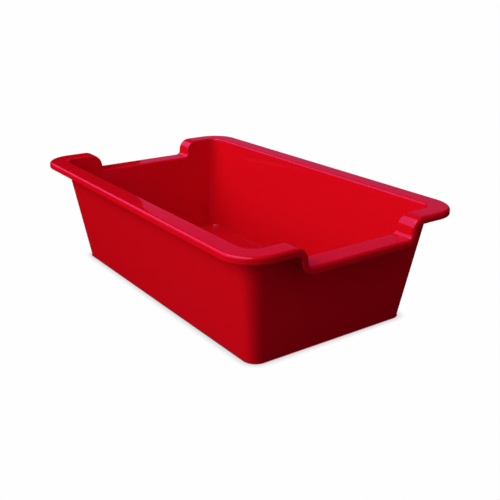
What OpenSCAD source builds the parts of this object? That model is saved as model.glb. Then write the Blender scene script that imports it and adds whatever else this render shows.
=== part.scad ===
// Open art supply box: a one-piece moulded plastic tub with leaning walls, a
// broad rim that ends in a turned-down lip, and a hand notch in each end.
//
// X runs along the length, Y across the width and Z up. The origin is the
// centre of the underside of the base. All lengths are in millimetres.
//
// The tub is mirror-symmetric in X and in Y, so one quarter is drawn, the one
// in +X +Y, and the other three are its mirror images.

/* [Overall size] */
// Length over the rim
overall_length = 343; // [320:1:380]
// Width over the rim
overall_width = 207; // [190:1:230]
// Height of the level part of the rim above the underside of the base
overall_height = 95; // [85:1:110]

/* [Walls and floor] */
// Outward lean of the two end walls, in degrees from upright
end_draft = 9.0; // [6:0.1:10]
// Outward lean of the two long walls, in degrees from upright
side_draft = 8.4; // [6:0.1:10]
// Thickness of the walls, square to their faces
wall_thickness = 2.2; // [1.8:0.1:2.8]
// Thickness of the floor
floor_thickness = 2.5; // [2:0.1:3.5]
// Outside radius of the corners where two walls meet
wall_corner_radius = 12; // [8:0.5:14]

/* [Rim] */
// Distance the rim stands out past the top of the walls
rim_overhang = 14.6; // [12:0.1:15.5]
// Outside radius of the rim's corners, seen from above
rim_corner_radius = 26; // [24:0.5:30]
// Thickness of the rim's flat top
rim_thickness = 2.2; // [1.8:0.1:2.6]
// Height of the outer edge, from the top of the rim to the foot of its lip
lip_depth = 5.5; // [4.5:0.1:7]
// Thickness of the turned-down lip
lip_thickness = 2.0; // [1.6:0.1:2.4]
// Rounding along the rim's outer top edge
rim_edge_radius = 2.5; // [0.8:0.1:3]

/* [Hand notches] */
// Width between the upright parts of a notch's two sides
notch_width = 97.2; // [88:0.2:100]
// Drop from the level rim to the rim at the bottom of a notch
notch_depth = 15.6; // [15.5:0.1:22]
// Radius of the outward bend from the level rim into a notch
notch_top_radius = 10.9; // [9:0.1:11]
// Radius of the inward bend into the bottom of a notch
notch_bottom_radius = 4.2; // [3:0.1:4.4]

/* [Hidden] */

$fn = 96;

half_length = overall_length / 2;
half_width = overall_width / 2;

// Levels and places along a notch's edge, for the half with positive Y
notch_side_y = notch_width / 2;
notch_floor_z = overall_height - notch_depth;
top_bend_y = notch_side_y + notch_top_radius;
top_bend_z = overall_height - notch_top_radius;
bottom_bend_y = notch_side_y - notch_bottom_radius;
bottom_bend_z = notch_floor_z + notch_bottom_radius;

// The walls stop halfway up the thickness of the rim that covers them
wall_top_gap = rim_thickness / 2;

// Square-on directions of the end wall and of the long wall, and the
// direction of the leaning corner line where the two would meet
end_normal = [cos(end_draft), 0, -sin(end_draft)];
side_normal = [0, cos(side_draft), -sin(side_draft)];
corner_line = cross(end_normal, side_normal) / norm(cross(end_normal, side_normal));
corner_across = cross(corner_line, end_normal);

// Angle between the two walls' square-on directions
corner_angle = acos(end_normal * side_normal);

// Height that a corner's round face stands proud of the flat faces beside it,
// so that the faces cross cleanly and don't only touch
corner_proud = 0.001;

// Distances of the two walls' outer faces from the origin, square to the faces
end_reach = end_normal * [half_length - rim_overhang, 0, overall_height];
side_reach = side_normal * [0, half_width - rim_overhang, overall_height];

// Cross-section of a rounded wall corner, square to the leaning corner line.
// Its axes are end_normal and corner_across. inset moves both faces inwards.
// A square lies against each wall, and a circle rounds the corner between.
module corner_section(inset) {
    round = wall_corner_radius - inset;
    centre_x = end_reach - inset - round;
    centre_y = (side_reach - inset - round - centre_x * cos(corner_angle)) / sin(corner_angle);
    span = overall_length;

    translate([centre_x, centre_y]) {
        circle(round + corner_proud);
        translate([round - span, -span])
            square(span);
        rotate(corner_angle)
            translate([round - span, 0])
                square(span);
    }
}

// A quarter of a block with the lean of the walls and rounded corners, between
// two levels.
module leaning_quarter(inset, bottom, top) {
    lean = [
        [end_normal.x, corner_across.x, corner_line.x, 0],
        [end_normal.y, corner_across.y, corner_line.y, 0],
        [end_normal.z, corner_across.z, corner_line.z, 0],
        [0, 0, 0, 1]
    ];

    intersection() {
        multmatrix(lean)
            translate([0, 0, -overall_height])
                linear_extrude(3 * overall_height)
                    corner_section(inset);
        translate([0, 0, bottom])
            cube([half_length, half_width, top - bottom]);
    }
}

// Turns a solid drawn with its axis upright so that the axis lies along X and
// its first two axes become Y and Z.
module along_x() {
    rotate([90, 0, 90])
        children();
}

// Outline of half a notch in the end wall, seen along X: Y is across, Z is up.
// It lies a little below the rim's top, so that the rim covers the cut.
module notch_outline() {
    bottom_round = notch_bottom_radius + wall_top_gap;
    top_round = notch_top_radius - wall_top_gap;
    side_y = notch_side_y + wall_top_gap;
    floor_z = notch_floor_z - wall_top_gap;

    difference() {
        union() {
            translate([0, floor_z])
                square([bottom_bend_y, notch_depth]);
            translate([bottom_bend_y, bottom_bend_z])
                circle(bottom_round);
            translate([0, bottom_bend_z])
                square([side_y, notch_depth]);
            translate([0, top_bend_z])
                square([top_bend_y, notch_depth]);
        }
        translate([top_bend_y, top_bend_z])
            circle(top_round);
    }
}

// A quarter of the walls and floor, before the inside is hollowed out
module wall_quarter() {
    difference() {
        leaning_quarter(0, 0, overall_height - wall_top_gap);
        along_x()
            linear_extrude(half_length)
                notch_outline();
    }
}

// Cross-section of the rim: a flat top with a turned-down lip. The outer face
// is on the Y axis, the top is on the X axis and the tub lies to the left.
module rim_section() {
    difference() {
        union() {
            translate([-rim_corner_radius, -rim_thickness])
                square([rim_corner_radius, rim_thickness]);
            translate([-lip_thickness, -lip_depth])
                square([lip_thickness, lip_depth]);
        }
        translate([-rim_edge_radius, -rim_edge_radius])
            difference() {
                square(rim_edge_radius + 1);
                circle(rim_edge_radius);
            }
    }
}

// A straight run of rim along Y at the end of the tub, with its top at level z
module end_run(from_y, to_y, z) {
    translate([half_length, to_y, z])
        rotate([90, 0, 0])
            linear_extrude(to_y - from_y)
                rim_section();
}

// The half of the long side's rim from the middle to the corner
module side_run() {
    translate([0, half_width, overall_height])
        rotate([90, 0, 90])
            linear_extrude(half_length - rim_corner_radius)
                rim_section();
}

// The rim's rounded corner
module rim_corner() {
    translate([half_length - rim_corner_radius, half_width - rim_corner_radius, overall_height])
        rotate_extrude(angle = 90)
            translate([rim_corner_radius, 0])
                rim_section();
}

// The rim's bend down from its level part into the notch
module notch_top_bend() {
    along_x()
        translate([top_bend_y, top_bend_z, half_length])
            rotate([0, 0, 90])
                rotate_extrude(angle = 90)
                    translate([notch_top_radius, 0])
                        mirror([1, -1])
                            rim_section();
}

// The short upright part of the rim at the side of the notch
module notch_upright() {
    translate([half_length, notch_side_y, bottom_bend_z])
        linear_extrude(top_bend_z - bottom_bend_z)
            mirror([0, 1])
                rim_section();
}

// The rim's bend into the bottom of the notch
module notch_bottom_bend() {
    along_x()
        translate([bottom_bend_y, bottom_bend_z, half_length])
            rotate([0, 0, -90])
                rotate_extrude(angle = 90)
                    translate([notch_bottom_radius, 0])
                        rotate(90)
                            rim_section();
}

// A quarter of the rim, from the middle of the long side round to the middle
// of the notch
module rim_quarter() {
    side_run();
    rim_corner();
    end_run(top_bend_y, half_width - rim_corner_radius, overall_height);
    notch_top_bend();
    notch_upright();
    notch_bottom_bend();
    end_run(0, bottom_bend_y, notch_floor_z);
}

module tub() {
    color("firebrick")
        for (flip_x = [0, 1], flip_y = [0, 1])
            mirror([flip_x, 0, 0])
                mirror([0, flip_y, 0])
                    difference() {
                        union() {
                            wall_quarter();
                            rim_quarter();
                        }
                        leaning_quarter(wall_thickness, floor_thickness, overall_height + 1);
                    }
}

tub();
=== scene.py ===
"""An open art supply tub in glossy red moulded plastic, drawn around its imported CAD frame.

The tub is one closed mesh. It is swept as rings of points that run from the middle of the
underside, up the outside of the walls, over the rim with its lip and hand notches, and down
the inside to the middle of the floor. All lengths are in metres. Angles are in radians, apart
from those that a comment or docstring gives in degrees.
"""

import math

import bpy
from mathutils import Matrix, Vector


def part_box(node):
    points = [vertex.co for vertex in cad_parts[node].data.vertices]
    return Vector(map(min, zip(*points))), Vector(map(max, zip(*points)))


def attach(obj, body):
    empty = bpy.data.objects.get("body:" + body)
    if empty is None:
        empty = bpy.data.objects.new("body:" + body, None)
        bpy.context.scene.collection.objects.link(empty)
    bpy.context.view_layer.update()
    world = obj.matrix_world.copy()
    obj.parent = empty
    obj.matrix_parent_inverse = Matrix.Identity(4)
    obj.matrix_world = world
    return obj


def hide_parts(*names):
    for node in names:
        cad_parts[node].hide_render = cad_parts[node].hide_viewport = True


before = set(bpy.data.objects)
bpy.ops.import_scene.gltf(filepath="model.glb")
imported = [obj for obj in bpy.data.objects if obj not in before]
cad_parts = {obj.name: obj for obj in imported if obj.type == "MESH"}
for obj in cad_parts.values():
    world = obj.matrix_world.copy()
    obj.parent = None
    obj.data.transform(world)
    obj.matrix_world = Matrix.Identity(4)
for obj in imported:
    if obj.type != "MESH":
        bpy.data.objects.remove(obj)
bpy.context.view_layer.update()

MM = 0.001

# ---------------------------------------------------------------- sizes of the tub
# The outer sizes come from the frame. The others, down to the notches, are the CAD part's own.
lowest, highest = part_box("tub")
HALF_LENGTH = highest.x
HALF_WIDTH = highest.y
HEIGHT = highest.z - lowest.z

RIM_OVERHANG = 14.6 * MM
RIM_THICKNESS = 2.2 * MM
RIM_CORNER_RADIUS = 26 * MM
LIP_DEPTH = 5.5 * MM
LIP_THICKNESS = 2.0 * MM
WALL_THICKNESS = 2.2 * MM
FLOOR_THICKNESS = 2.5 * MM

END_LEAN = math.radians(9.0)
SIDE_LEAN = math.radians(8.4)
MEAN_LEAN = (END_LEAN + SIDE_LEAN) / 2
# How far each kind of wall leans outwards for every metre of height
END_SLOPE = math.tan(END_LEAN)
SIDE_SLOPE = math.tan(SIDE_LEAN)
MEAN_SLOPE = math.tan(MEAN_LEAN)

# The corners between walls are slightly conical. The CAD part has one radius between these two.
CORNER_RADIUS_AT_BASE = 10.2 * MM
CORNER_RADIUS_AT_TOP = 13.7 * MM

NOTCH_SIDE_Y = 48.6 * MM
NOTCH_DEPTH = 15.6 * MM
NOTCH_TOP_RADIUS = 10.9 * MM
NOTCH_BOTTOM_RADIUS = 4.2 * MM
# Below this depth under the rim the wall's rings are level and no longer follow the notch
NOTCH_BLEND_DEPTH = NOTCH_DEPTH + 14 * MM
# How far into the plastic the notch's line is taken that places the points of level rings
LEVEL_OFFSET = 5 * MM
# How evenly a level ring's points are spread just below the notch, from 0 to 1
LEAST_EVENNESS = 0.15

# Radii of the rounded edges and inside corners
BASE_EDGE = 0.8 * MM
LIP_TOP_EDGE = 2.5 * MM
LIP_FOOT_EDGE = 0.4 * MM
LIP_ROOT = 1.0 * MM
WALL_ROOT = 1.6 * MM
INNER_TOP_EDGE = 2.4 * MM
FLOOR_ROOT = 2.0 * MM

# Horizontal thickness of a leaning wall
WALL_ACROSS = WALL_THICKNESS / math.cos(MEAN_LEAN)

# The moulding gate under the base: a shallow dimple with a trimmed nub in it
GATE_RADIUS = 6 * MM
GATE_DEPTH = 0.5 * MM
GATE_NUB_RADIUS = 1.4 * MM
GATE_NUB_HEIGHT = 0.3 * MM
# The nub's section: shares of its radius, and of its height counted from its tip
GATE_NUB_SECTION = ((0.7, 0), (0.95, 0.25), (1, 1))
# Half the width of the slope round the dimple, counted in steps of half the dimple's depth
GATE_EDGE_STEP = GATE_DEPTH / 2
# The slope's section: steps out from the dimple's radius, and shares of its depth
GATE_EDGE_SECTION = ((-2, 1), (-1, 0.85), (0, 0.5), (1, 0.15), (2, 0))

# Radius of the small flat cap that closes the middle of the floor
FLOOR_CAP_RADIUS = 6 * MM

# Numbers of steps along each stretch of a ring
NOTCH_FLAT_STEPS = 10
BEND_STEPS = 14
LEVEL_STEPS = 4
CORNER_STEPS = 22
SIDE_STEPS = 24
# Numbers of steps from ring to ring
ROUND_STEPS = 7
WALL_STEPS = 12
BLEND_STEPS = 5
RIM_FLAT_STEPS = 4
BASE_FLAT_STEPS = 8


# ---------------------------------------------------------------- rings of points
def notch_line(offset):
    """The rim's line at one end, from the middle of the notch to where it is level again.

    It is a list of (y, depth), with depth measured down from the level rim. offset moves
    the line into the plastic, square to itself.
    """
    bottom_radius = NOTCH_BOTTOM_RADIUS + offset
    top_radius = NOTCH_TOP_RADIUS - offset
    bottom_y = NOTCH_SIDE_Y - NOTCH_BOTTOM_RADIUS
    bottom_depth = NOTCH_DEPTH - NOTCH_BOTTOM_RADIUS
    top_y = NOTCH_SIDE_Y + NOTCH_TOP_RADIUS

    line = []
    for step in range(NOTCH_FLAT_STEPS):
        line.append((bottom_y * step / NOTCH_FLAT_STEPS, NOTCH_DEPTH + offset))
    for step in range(BEND_STEPS + 1):
        turn = math.pi / 2 * step / BEND_STEPS
        y = bottom_y + bottom_radius * math.sin(turn)
        line.append((y, bottom_depth + bottom_radius * math.cos(turn)))
    for step in range(BEND_STEPS + 1):
        turn = math.pi / 2 * step / BEND_STEPS
        y = top_y - top_radius * math.cos(turn)
        line.append((y, NOTCH_TOP_RADIUS - top_radius * math.sin(turn)))
    return line


def following_line(offset, corner_y):
    """The line of one end that follows the notch, out to where the plan corner starts."""
    line = notch_line(offset)
    start_y = line[-1][0]
    for step in range(1, LEVEL_STEPS + 1):
        line.append((start_y + (corner_y - start_y) * step / LEVEL_STEPS, offset))
    return line


def level_line(depth, corner_y):
    """A level line with as many points as following_line.

    Just below the notch each point is almost below that line's own, so that no faces fold
    over each other there. Down at the base the points are spread evenly.
    """
    pattern = following_line(LEVEL_OFFSET, corner_y)
    travelled = [0]
    for here, there in zip(pattern, pattern[1:]):
        travelled.append(travelled[-1] + math.dist(here, there))
    drop = (depth - NOTCH_BLEND_DEPTH) / (HEIGHT - NOTCH_BLEND_DEPTH)
    evenness = LEAST_EVENNESS + (1 - LEAST_EVENNESS) * drop
    line = []
    for (own_y, _), length in zip(pattern, travelled):
        even_y = corner_y * length / travelled[-1]
        line.append((own_y + (even_y - own_y) * evenness, depth))
    return line


def ring(line, x_at, half_y, radius):
    """A closed ring: one quarter through an end line, a corner and half a side, mirrored."""
    depth = line[-1][1]
    centre_x = x_at(depth) - radius
    centre_y = half_y - radius
    quarter = [Vector((x_at(d), y, HEIGHT - d)) for y, d in line]
    for step in range(1, CORNER_STEPS + 1):
        turn = math.pi / 2 * step / CORNER_STEPS
        x = centre_x + radius * math.cos(turn)
        y = centre_y + radius * math.sin(turn)
        quarter.append(Vector((x, y, HEIGHT - depth)))
    for step in range(1, SIDE_STEPS + 1):
        x = centre_x * (1 - step / SIDE_STEPS)
        quarter.append(Vector((x, half_y, HEIGHT - depth)))

    second = [Vector((-p.x, p.y, p.z)) for p in reversed(quarter[:-1])]
    half = quarter + second
    other_half = [Vector((p.x, -p.y, p.z)) for p in reversed(half[1:-1])]
    return half + other_half


def wall_ring(out, depth, follows_notch):
    """A ring on the walls. out is its distance out from the walls' outer faces."""
    half_y = HALF_WIDTH - RIM_OVERHANG - depth * SIDE_SLOPE + out
    share = depth / HEIGHT
    radius = CORNER_RADIUS_AT_TOP * (1 - share) + CORNER_RADIUS_AT_BASE * share + out
    make_line = following_line if follows_notch else level_line

    def x_at(point_depth):
        return HALF_LENGTH - RIM_OVERHANG - point_depth * END_SLOPE + out

    return ring(make_line(depth, half_y - radius), x_at, half_y, radius)


def lip_ring(out, depth):
    """A ring on the rim. out is its distance out from the lip's outer face."""
    half_y = HALF_WIDTH + out
    radius = RIM_CORNER_RADIUS + out
    line = following_line(depth, half_y - radius)
    return ring(line, lambda point_depth: HALF_LENGTH + out, half_y, radius)


def rounding(centre_out, centre_depth, radius, start, end, slope=0.0):
    """(out, depth) pairs round an arc, with angles in degrees and 90 degrees pointing up.

    With a slope, out is measured from a face that leans outwards by it.
    """
    pairs = []
    for step in range(ROUND_STEPS + 1):
        turn = math.radians(start + (end - start) * step / ROUND_STEPS)
        out = centre_out + radius * (math.cos(turn) - slope * math.sin(turn))
        pairs.append((out, centre_depth - radius * math.sin(turn)))
    return pairs


def between(first, last, steps):
    """Rings part of the way between two rings, without the two themselves."""
    rings = []
    for step in range(1, steps):
        rings.append([a.lerp(b, step / steps) for a, b in zip(first, last)])
    return rings


def disc_ring(radius, z, count):
    """A round ring of count points about the middle of the tub."""
    turns = [2 * math.pi * i / count for i in range(count)]
    return [Vector((radius * math.cos(t), radius * math.sin(t), z)) for t in turns]


# ---------------------------------------------------------------- the tub's mesh
def outside_rings():
    """From the base's edge up the outer walls to the corner under the rim."""
    lean = math.degrees(MEAN_LEAN)
    base_edge = rounding(
        -BASE_EDGE / math.cos(MEAN_LEAN),
        HEIGHT - BASE_EDGE,
        BASE_EDGE,
        -90,
        -lean,
        MEAN_SLOPE,
    )
    root = rounding(
        WALL_ROOT / math.cos(MEAN_LEAN),
        RIM_THICKNESS + WALL_ROOT,
        WALL_ROOT,
        180 - lean,
        90,
        MEAN_SLOPE,
    )
    rings = [wall_ring(out, depth, False) for out, depth in base_edge]
    middle = wall_ring(0, NOTCH_BLEND_DEPTH, False)
    upper = [wall_ring(out, depth, True) for out, depth in root]
    rings += between(rings[-1], middle, WALL_STEPS) + [middle]
    rings += between(middle, upper[0], BLEND_STEPS) + upper
    return rings


def rim_rings():
    """From the corner inside the lip, round the lip and over it to the flat top."""
    root = rounding(-LIP_THICKNESS - LIP_ROOT, RIM_THICKNESS + LIP_ROOT, LIP_ROOT, 90, 0)
    foot_depth = LIP_DEPTH - LIP_FOOT_EDGE
    foot_inside = rounding(-LIP_THICKNESS + LIP_FOOT_EDGE, foot_depth, LIP_FOOT_EDGE, 180, 270)
    foot_outside = rounding(-LIP_FOOT_EDGE, foot_depth, LIP_FOOT_EDGE, 270, 360)
    top_edge = rounding(-LIP_TOP_EDGE, LIP_TOP_EDGE, LIP_TOP_EDGE, 0, 90)
    return [lip_ring(out, depth) for out, depth in root + foot_inside + foot_outside + top_edge]


def inside_rings():
    """From the inner top edge down the inner walls to the edge of the floor."""
    lean = math.degrees(MEAN_LEAN)
    top_edge = rounding(
        INNER_TOP_EDGE / math.cos(MEAN_LEAN) - WALL_ACROSS,
        INNER_TOP_EDGE,
        INNER_TOP_EDGE,
        90,
        180 - lean,
        MEAN_SLOPE,
    )
    root = rounding(
        -WALL_ACROSS - FLOOR_ROOT / math.cos(MEAN_LEAN),
        HEIGHT - FLOOR_THICKNESS - FLOOR_ROOT,
        FLOOR_ROOT,
        -lean,
        -90,
        MEAN_SLOPE,
    )
    upper = [wall_ring(out, depth, True) for out, depth in top_edge]
    lower = [wall_ring(out, depth, False) for out, depth in root]
    middle = wall_ring(-WALL_ACROSS, NOTCH_BLEND_DEPTH, False)
    rings = upper + between(upper[-1], middle, BLEND_STEPS) + [middle]
    rings += between(middle, lower[0], WALL_STEPS) + lower
    return rings


def gate_rings(count):
    """The moulding gate's dimple and nub, from the middle outwards, under the base."""
    nub_tip = GATE_DEPTH - GATE_NUB_HEIGHT
    profile = []
    for across, up in GATE_NUB_SECTION:
        profile.append((GATE_NUB_RADIUS * across, nub_tip + GATE_NUB_HEIGHT * up))
    for steps, share in GATE_EDGE_SECTION:
        profile.append((GATE_RADIUS + GATE_EDGE_STEP * steps, GATE_DEPTH * share))
    return [disc_ring(radius, z, count) for radius, z in profile]


def tub_rings():
    """All the rings of the tub, from the middle of the underside to the middle of the floor."""
    outside = outside_rings()
    rim = rim_rings()
    inside = inside_rings()
    count = len(rim[0])
    gate = gate_rings(count)
    floor_middle = disc_ring(FLOOR_CAP_RADIUS, FLOOR_THICKNESS, count)

    rings = gate + between(gate[-1], outside[0], BASE_FLAT_STEPS) + outside
    rings += between(outside[-1], rim[0], RIM_FLAT_STEPS) + rim
    rings += between(rim[-1], inside[0], RIM_FLAT_STEPS) + inside
    rings += between(inside[-1], floor_middle, BASE_FLAT_STEPS) + [floor_middle]
    return rings


def make_tub():
    """The whole tub as one closed mesh of quads, with a small cap at each end of the sweep."""
    rings = tub_rings()
    count = len(rings[0])
    points = [point for loop in rings for point in loop]
    faces = []
    for row in range(len(rings) - 1):
        for i in range(count):
            j = (i + 1) % count
            low = row * count
            high = low + count
            faces.append((low + i, low + j, high + j, high + i))
    faces.append(tuple(reversed(range(count))))
    faces.append(tuple(range(len(points) - count, len(points))))

    mesh = bpy.data.meshes.new("tub_shell")
    mesh.from_pydata(points, [], faces)
    mesh.shade_smooth()
    mesh.validate()
    tub = bpy.data.objects.new("tub_shell", mesh)
    bpy.context.scene.collection.objects.link(tub)
    normals = tub.modifiers.new("even_normals", "WEIGHTED_NORMAL")
    normals.mode = "FACE_AREA"
    normals.weight = 50
    return tub


# ---------------------------------------------------------------- material helpers
def node(tree, kind, **values):
    """A new node, with each named input or property set."""
    made = tree.nodes.new(kind)
    for name, value in values.items():
        socket = made.inputs.get(name.replace("_", " "))
        if socket is not None:
            socket.default_value = value
        else:
            setattr(made, name, value)
    return made


def math_node(tree, operation, *values):
    """The output of a new math node. Each value is a number or a socket."""
    made = tree.nodes.new("ShaderNodeMath")
    made.operation = operation
    for slot, value in zip(made.inputs, values):
        if isinstance(value, bpy.types.NodeSocket):
            tree.links.new(value, slot)
        else:
            slot.default_value = value
    return made.outputs[0]


def fade(tree, value, at_zero, at_one):
    """A smooth step of a socket's value, from 0 at at_zero to 1 at at_one."""
    made = node(tree, "ShaderNodeMapRange", interpolation_type="SMOOTHSTEP")
    made.inputs["From Min"].default_value = at_zero
    made.inputs["From Max"].default_value = at_one
    tree.links.new(value, made.inputs["Value"])
    return made.outputs["Result"]


def noise(tree, place, size, detail=2.0, stretch=(1, 1, 1), turn=0.0):
    """A noise between 0 and 1 with blotches of about the given size.

    stretch makes them longer along each axis, and turn first turns them about Z, in degrees.
    """
    mapping = node(tree, "ShaderNodeMapping", vector_type="TEXTURE")
    mapping.inputs["Rotation"].default_value = (0, 0, math.radians(turn))
    mapping.inputs["Scale"].default_value = stretch
    made = node(tree, "ShaderNodeTexNoise", Scale=1 / size, Detail=detail)
    tree.links.new(place, mapping.inputs["Vector"])
    tree.links.new(mapping.outputs["Vector"], made.inputs["Vector"])
    return made.outputs["Fac"]


def mixed(tree, share, first, second):
    """A colour between two others."""
    made = node(tree, "ShaderNodeMix", data_type="RGBA")
    for name, colour in (("A_Color", first), ("B_Color", second)):
        socket = next(s for s in made.inputs if s.identifier == name)
        if isinstance(colour, bpy.types.NodeSocket):
            tree.links.new(colour, socket)
        else:
            socket.default_value = colour
    tree.links.new(share, made.inputs["Factor"])
    return next(s for s in made.outputs if s.identifier == "Result_Color")


def sum_of(tree, *terms):
    """The sum of (socket, factor) pairs."""
    total = None
    for socket, factor in terms:
        scaled = math_node(tree, "MULTIPLY", socket, factor)
        total = scaled if total is None else math_node(tree, "ADD", total, scaled)
    return total


def new_material(name):
    """A material with an empty node tree and its output node."""
    material = bpy.data.materials.new(name)
    material.use_nodes = True
    material.node_tree.nodes.clear()
    output = material.node_tree.nodes.new("ShaderNodeOutputMaterial")
    return material, material.node_tree, output


# ---------------------------------------------------------------- the red plastic
PLASTIC_RED = (0.60, 0.0028, 0.0075, 1)
DENSE_RED = (0.585, 0.0024, 0.0066, 1)
WORN_RED = (0.64, 0.012, 0.018, 1)
# Painted shade: the floor inside the tub is given this darker red than the walls
FLOOR_SHADE_RED = (0.55, 0.0020, 0.0060, 1)

GLOSS_ROUGHNESS = 0.02
SMUDGE_ROUGHNESS = 0.02
SCRATCH_ROUGHNESS = 0.15
FLOOR_ROUGHNESS = 0.38

PLASTIC_IOR = 1.5
# Strength of the mirror layer, and how much of it the floor lacks
GLOSS_LEVEL = 0.5
FLOOR_GLOSS_LOSS = 0.35

# How far specks and scratches bleach the colour
SPECK_WEAR = 0.12
SCRATCH_WEAR = 0.25

# Sizes of the blotches in each kind of unevenness
FLOW_SIZE = 70 * MM
FLOW_STRETCH = (2.5, 1, 1)
SPECK_SIZE = 1.2 * MM
SMUDGE_SIZE = 30 * MM
WAVE_SIZE = 9 * MM
FLOOR_GRAIN_SIZE = 0.9 * MM
SCRATCH_WIDTH = 0.5 * MM
SCRATCH_STRETCH = (60, 1, 1)
SCRATCHED_PATCH_SIZE = 45 * MM

# Levels of the noise at which each kind starts to show and at which it is full
FLOW_LEVELS = (0.3, 0.7)
SPECK_LEVELS = (0.66, 0.80)
SMUDGE_LEVELS = (0.48, 0.72)
SCRATCH_LEVELS = (0.70, 0.76)
SCRATCHED_PATCH_LEVELS = (0.45, 0.65)

# Heights of the surface's unevenness
WAVE_HEIGHT = 0.003 * MM
FLOOR_GRAIN_HEIGHT = 0.012 * MM
SCRATCH_DEPTH = 0.006 * MM

# Directions of the scratches, in degrees
SCRATCH_DIRECTIONS = (12, 58, 101, 149)

# How far a face looks away from the tub's upright axis, as its level normal times its distance
# from that axis: at the first it counts as outside, at the second as inside
OUTWARD_LIMITS = (4 * MM, 2 * MM)
# Distances over which the matt floor fades into the glossy walls and corners
FLOOR_FADE = 1 * MM
CORNER_FADE = 2 * MM


def scratches(tree, place):
    """Fine straight scratches in a few directions, where 1 is in a scratch."""
    lines = None
    for turn in SCRATCH_DIRECTIONS:
        streak = noise(tree, place, SCRATCH_WIDTH, 1.0, SCRATCH_STRETCH, turn)
        line = fade(tree, streak, *SCRATCH_LEVELS)
        lines = line if lines is None else math_node(tree, "MAXIMUM", lines, line)
    patches = fade(tree, noise(tree, place, SCRATCHED_PATCH_SIZE, 1.0), *SCRATCHED_PATCH_LEVELS)
    return math_node(tree, "MULTIPLY", lines, patches)


def floor_share(tree):
    """1 on the floor inside the tub and on the rounding beside it, 0 on everything else.

    The share also paints the floor a darker red as shade, and makes it matt. The rounding's four corners
    are left out, so they stay as glossy as the walls.
    """
    geometry = tree.nodes.new("ShaderNodeNewGeometry")
    position = tree.nodes.new("ShaderNodeSeparateXYZ")
    outward = node(tree, "ShaderNodeVectorMath", operation="DOT_PRODUCT")
    level = node(tree, "ShaderNodeVectorMath", operation="MULTIPLY")
    level.inputs[1].default_value = (1, 1, 0)
    tree.links.new(geometry.outputs["Position"], position.inputs["Vector"])
    tree.links.new(geometry.outputs["Position"], level.inputs[0])
    tree.links.new(level.outputs["Vector"], outward.inputs[0])
    tree.links.new(geometry.outputs["Normal"], outward.inputs[1])

    share = fade(tree, outward.outputs["Value"], *OUTWARD_LIMITS)
    top = FLOOR_THICKNESS + FLOOR_ROOT
    above_base = fade(tree, position.outputs["Z"], BASE_EDGE, FLOOR_THICKNESS)
    low = fade(tree, position.outputs["Z"], top + FLOOR_FADE, top)
    share = math_node(tree, "MULTIPLY", math_node(tree, "MULTIPLY", share, above_base), low)

    corner = None
    for axis, half, slope in (("X", HALF_LENGTH, END_SLOPE), ("Y", HALF_WIDTH, SIDE_SLOPE)):
        start = half - RIM_OVERHANG - HEIGHT * slope - CORNER_RADIUS_AT_BASE
        along = math_node(tree, "ABSOLUTE", position.outputs[axis])
        reached = fade(tree, along, start, start + CORNER_FADE)
        corner = reached if corner is None else math_node(tree, "MULTIPLY", corner, reached)
    return math_node(tree, "MULTIPLY", share, math_node(tree, "SUBTRACT", 1.0, corner))


def plastic():
    """Glossy red polypropylene with faint flow marks, smudges and scratches, and a matt floor painted a
    darker red as shade.
    """
    material, tree, output = new_material("red_plastic")
    link = tree.links.new
    place = tree.nodes.new("ShaderNodeTexCoord").outputs["Object"]

    flow = fade(tree, noise(tree, place, FLOW_SIZE, 4.0, FLOW_STRETCH), *FLOW_LEVELS)
    specks = fade(tree, noise(tree, place, SPECK_SIZE, 2.0), *SPECK_LEVELS)
    smudges = fade(tree, noise(tree, place, SMUDGE_SIZE, 5.0), *SMUDGE_LEVELS)
    waves = noise(tree, place, WAVE_SIZE, 1.0)
    grain = noise(tree, place, FLOOR_GRAIN_SIZE, 2.0)
    scratched = scratches(tree, place)
    on_floor = floor_share(tree)

    wear = sum_of(tree, (specks, SPECK_WEAR), (scratched, SCRATCH_WEAR))
    colour = mixed(tree, flow, DENSE_RED, PLASTIC_RED)
    colour = mixed(tree, wear, colour, WORN_RED)
    # Painted shade: the floor inside the tub gets the darker red
    colour = mixed(tree, on_floor, colour, FLOOR_SHADE_RED)

    marks = sum_of(tree, (smudges, SMUDGE_ROUGHNESS), (scratched, SCRATCH_ROUGHNESS))
    gloss = math_node(tree, "ADD", GLOSS_ROUGHNESS, marks)
    roughness = math_node(tree, "ADD", gloss, math_node(tree, "MULTIPLY", on_floor, FLOOR_ROUGHNESS))

    rough_floor = math_node(tree, "MULTIPLY", grain, on_floor)
    height = sum_of(
        tree, (waves, WAVE_HEIGHT), (rough_floor, FLOOR_GRAIN_HEIGHT), (scratched, -SCRATCH_DEPTH)
    )
    bump = node(tree, "ShaderNodeBump", Strength=1.0, Distance=1.0)
    link(height, bump.inputs["Height"])

    shader = node(tree, "ShaderNodeBsdfPrincipled", IOR=PLASTIC_IOR)
    gloss_loss = math_node(tree, "MULTIPLY", on_floor, FLOOR_GLOSS_LOSS)
    gloss_level = math_node(tree, "SUBTRACT", GLOSS_LEVEL, gloss_loss)
    link(gloss_level, shader.inputs["Specular IOR Level"])
    link(colour, shader.inputs["Base Color"])
    link(roughness, shader.inputs["Roughness"])
    link(bump.outputs["Normal"], shader.inputs["Normal"])
    link(shader.outputs["BSDF"], output.inputs["Surface"])
    return material


# ---------------------------------------------------------------- the studio
PAPER_WHITE = 0.99
FLOOR_SIZE = 6.0
AMBIENT = 0.346
AMBIENT_COLOUR = (1, 0.6, 2.0, 1)
LIGHT_DISTANCE = 1.5
CONTACT_SHADOW_REACH = 7 * MM
CONTACT_SHADOW_DEPTH = 0.62
# Painted shade: a thin dark red line on the floor in the gap under the base's edge
CONTACT_LINE_SHADE_REACH = 1.3 * MM
CONTACT_LINE_SHADE_RED = (0.20, 0.012, 0.02, 1)
# Shares of open sky at which the painted dark red line of shade starts to show and at which it is full
CONTACT_LINE_SHADE_LEVELS = (0.85, 0.6)
SKY_SAMPLES = 16
# The light that the floor throws back on the tub
FLOOR_GREY = (0.12, 0.12, 0.12, 1)

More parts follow.
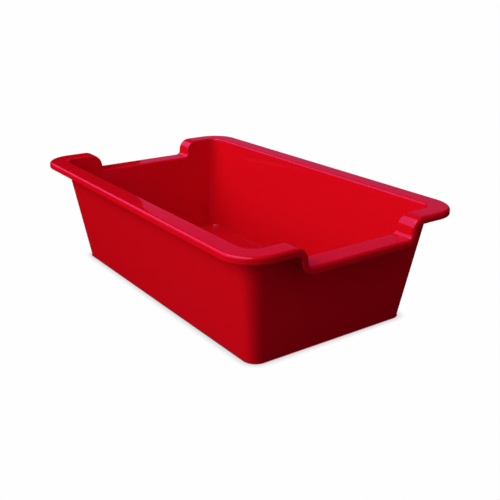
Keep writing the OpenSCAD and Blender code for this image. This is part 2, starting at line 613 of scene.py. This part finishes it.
# The soft lights: name, bearing and height in degrees, width, and power in watts
SOFT_LIGHTS = (
    ("front", 10, 30, 0.8, 9.3),
    ("low_key", -20, 15, 0.8, 3.4),
    ("key", -20, 35, 0.8, 10.5),
    ("overhead", 0, 90, 1.0, 4.6),
)

# The camera's place round the tub, and the point that it looks at
CAMERA_AZIMUTH = math.radians(55.06)
CAMERA_ELEVATION = math.radians(20.26)
CAMERA_ROLL = math.radians(-0.10)
CAMERA_DISTANCE = 1.944 * 2 * HALF_LENGTH
LOOKED_AT = Vector((0.0540 * 2 * HALF_LENGTH, 0.0466 * 2 * HALF_WIDTH, 0.3537 * HEIGHT))
# Both in millimetres, as Blender takes them
SENSOR_WIDTH = 36.0
LENS = 54.334

# The softboxes that the tub mirrors. Each has a lower and an upper border in bearing, the same
# in height, and then its colour and strength. A border is its middle and its width, in degrees.
# Bearing 0 is towards -Y and bearing 90 is towards +X.
BACK_BEARINGS = ((-160, 20), (-116.5, 0.15))
BACK_BOX = (BACK_BEARINGS, ((10.6, 0.6), (40, 26)), (1.0, 0.09, 0.36), 0.40)
BACK_GLOW = (BACK_BEARINGS, ((10.6, 0.6), (17, 8)), (0.2, 0.45, 1.0), 0.09)
LEFT_BOX = (((-90, 12), (40, 14)), ((18, 8), (54, 10)), (0.40, 0.24, 1.0), 1.55)
TOP_BOX = (((-74, 10), (55, 10)), ((50, 6), (80, 8)), (1.0, 0.26, 0.54), 4.0)
MIRRORED_SOFTBOXES = (BACK_BOX, BACK_GLOW, LEFT_BOX, TOP_BOX)


def soft_light(name, bearing, height, size, power):
    """A square soft light, aimed at the tub, that isn't mirrored in it."""
    lamp = bpy.data.lights.new(name, "AREA")
    lamp.shape = "SQUARE"
    lamp.size = size
    lamp.energy = power
    light = bpy.data.objects.new(name, lamp)
    light.visible_glossy = False
    bpy.context.scene.collection.objects.link(light)
    turn = math.radians(bearing)
    rise = math.radians(height)
    target = Vector((0, 0, HEIGHT / 2))
    level = Vector((math.sin(turn), -math.cos(turn), 0))
    away = level * math.cos(rise) + Vector((0, 0, math.sin(rise)))
    light.location = target + LIGHT_DISTANCE * away
    light.rotation_mode = "QUATERNION"
    light.rotation_quaternion = (target - light.location).to_track_quat("-Z", "Y")


def softbox(tree, bearing, height, bearings, heights, colour, strength):
    """Light from a window of directions, for the surroundings that the tub mirrors.

    bearing and height are the sockets of a ray's direction. bearings and heights are each the
    window's lower and upper border, as the middle and the width of the border in degrees.
    """
    brightness = strength
    for socket, borders in ((bearing, bearings), (height, heights)):
        for (middle, width), side in zip(borders, (1, -1)):
            dark = math.radians(middle - side * width / 2)
            bright = math.radians(middle + side * width / 2)
            brightness = math_node(tree, "MULTIPLY", fade(tree, socket, dark, bright), brightness)
    light = node(tree, "ShaderNodeBackground", Color=(*colour, 1))
    tree.links.new(brightness, light.inputs["Strength"])
    return light.outputs["Background"]


def make_world():
    """White to the camera, softboxes in the tub's reflections, soft ambient light for the rest."""
    world = bpy.data.worlds.new("studio")
    world.use_nodes = True
    tree = world.node_tree
    tree.nodes.clear()
    link = tree.links.new
    direction = tree.nodes.new("ShaderNodeTexCoord")
    parts = tree.nodes.new("ShaderNodeSeparateXYZ")
    link(direction.outputs["Generated"], parts.inputs["Vector"])
    backwards = math_node(tree, "MULTIPLY", parts.outputs["Y"], -1.0)
    bearing = math_node(tree, "ARCTAN2", parts.outputs["X"], backwards)
    height = math_node(tree, "ARCSINE", parts.outputs["Z"])

    mirrored = None
    for box in MIRRORED_SOFTBOXES:
        light = softbox(tree, bearing, height, *box)
        if mirrored is None:
            mirrored = light
        else:
            both = tree.nodes.new("ShaderNodeAddShader")
            link(mirrored, both.inputs[0])
            link(light, both.inputs[1])
            mirrored = both.outputs["Shader"]

    rays = tree.nodes.new("ShaderNodeLightPath")
    ambient = node(tree, "ShaderNodeBackground", Color=AMBIENT_COLOUR, Strength=AMBIENT)
    white = node(tree, "ShaderNodeBackground", Color=(1, 1, 1, 1), Strength=PAPER_WHITE)
    to_glossy = tree.nodes.new("ShaderNodeMixShader")
    to_camera = tree.nodes.new("ShaderNodeMixShader")
    output = tree.nodes.new("ShaderNodeOutputWorld")
    link(rays.outputs["Is Glossy Ray"], to_glossy.inputs["Fac"])
    link(ambient.outputs["Background"], to_glossy.inputs[1])
    link(mirrored, to_glossy.inputs[2])
    link(rays.outputs["Is Camera Ray"], to_camera.inputs["Fac"])
    link(to_glossy.outputs["Shader"], to_camera.inputs[1])
    link(white.outputs["Background"], to_camera.inputs[2])
    link(to_camera.outputs["Shader"], output.inputs["Surface"])
    bpy.context.scene.world = world


def make_floor():
    """A plain white floor with a painted faint contact shadow and a painted thin dark red line of shade
    under the base.

    It throws little light back. From below it is invisible, so that the underside of the tub
    can be looked at.
    """
    mesh = bpy.data.meshes.new("floor")
    corners = [(-1, -1, 0), (1, -1, 0), (1, 1, 0), (-1, 1, 0)]
    mesh.from_pydata([Vector(corner) * FLOOR_SIZE for corner in corners], [], [(0, 1, 2, 3)])
    floor = bpy.data.objects.new("floor", mesh)
    floor.visible_glossy = False
    bpy.context.scene.collection.objects.link(floor)

    material, tree, output = new_material("floor_paper")
    link = tree.links.new
    open_sky = node(tree, "ShaderNodeAmbientOcclusion", samples=SKY_SAMPLES, Distance=CONTACT_SHADOW_REACH)
    open_gap = node(tree, "ShaderNodeAmbientOcclusion", samples=SKY_SAMPLES, Distance=CONTACT_LINE_SHADE_REACH)
    # Painted shadow: the floor's own glow is dimmed where the tub hides the sky
    hidden = math_node(tree, "SUBTRACT", 1.0, open_sky.outputs["AO"])
    shadow = math_node(tree, "MULTIPLY", hidden, CONTACT_SHADOW_DEPTH)
    white = math_node(tree, "SUBTRACT", PAPER_WHITE, shadow)
    paper = node(tree, "ShaderNodeCombineColor")
    for channel in ("Red", "Green", "Blue"):
        link(white, paper.inputs[channel])
    # Painted shade: the thin dark red line in the gap under the base
    contact = fade(tree, open_gap.outputs["AO"], *CONTACT_LINE_SHADE_LEVELS)
    seen = node(tree, "ShaderNodeEmission")
    link(mixed(tree, contact, paper.outputs["Color"], CONTACT_LINE_SHADE_RED), seen.inputs["Color"])
    bounced = node(tree, "ShaderNodeBsdfDiffuse", Color=FLOOR_GREY)
    clear = tree.nodes.new("ShaderNodeBsdfTransparent")
    rays = tree.nodes.new("ShaderNodeLightPath")
    side = tree.nodes.new("ShaderNodeNewGeometry")
    to_camera = tree.nodes.new("ShaderNodeMixShader")
    from_below = tree.nodes.new("ShaderNodeMixShader")
    link(side.outputs["Backfacing"], from_below.inputs["Fac"])
    link(seen.outputs["Emission"], from_below.inputs[1])
    link(clear.outputs["BSDF"], from_below.inputs[2])
    link(rays.outputs["Is Camera Ray"], to_camera.inputs["Fac"])
    link(bounced.outputs["BSDF"], to_camera.inputs[1])
    link(from_below.outputs["Shader"], to_camera.inputs[2])
    link(to_camera.outputs["Shader"], output.inputs["Surface"])
    mesh.materials.append(material)


def make_camera():
    """The camera, two thirds of a metre away, above the corner of the +X end and the -Y side."""
    back = Vector((
        math.sin(CAMERA_AZIMUTH) * math.cos(CAMERA_ELEVATION),
        -math.cos(CAMERA_AZIMUTH) * math.cos(CAMERA_ELEVATION),
        math.sin(CAMERA_ELEVATION),
    ))
    level_right = Vector((math.cos(CAMERA_AZIMUTH), math.sin(CAMERA_AZIMUTH), 0))
    level_up = back.cross(level_right)
    right = level_right * math.cos(CAMERA_ROLL) + level_up * math.sin(CAMERA_ROLL)
    up = back.cross(right)

    data = bpy.data.cameras.new("camera")
    data.sensor_width = SENSOR_WIDTH
    data.lens = LENS
    camera = bpy.data.objects.new("camera", data)
    bpy.context.scene.collection.objects.link(camera)
    turn = Matrix((right, up, back)).transposed()
    place = Matrix.Translation(LOOKED_AT + back * CAMERA_DISTANCE)
    camera.matrix_world = place @ turn.to_4x4()
    bpy.context.scene.camera = camera


tub = make_tub()
tub.data.materials.append(plastic())
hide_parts("tub")
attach(tub, "root")

make_world()
make_floor()
for soft in SOFT_LIGHTS:
    soft_light(*soft)
make_camera()

bpy.context.scene.view_settings.view_transform = "Standard"
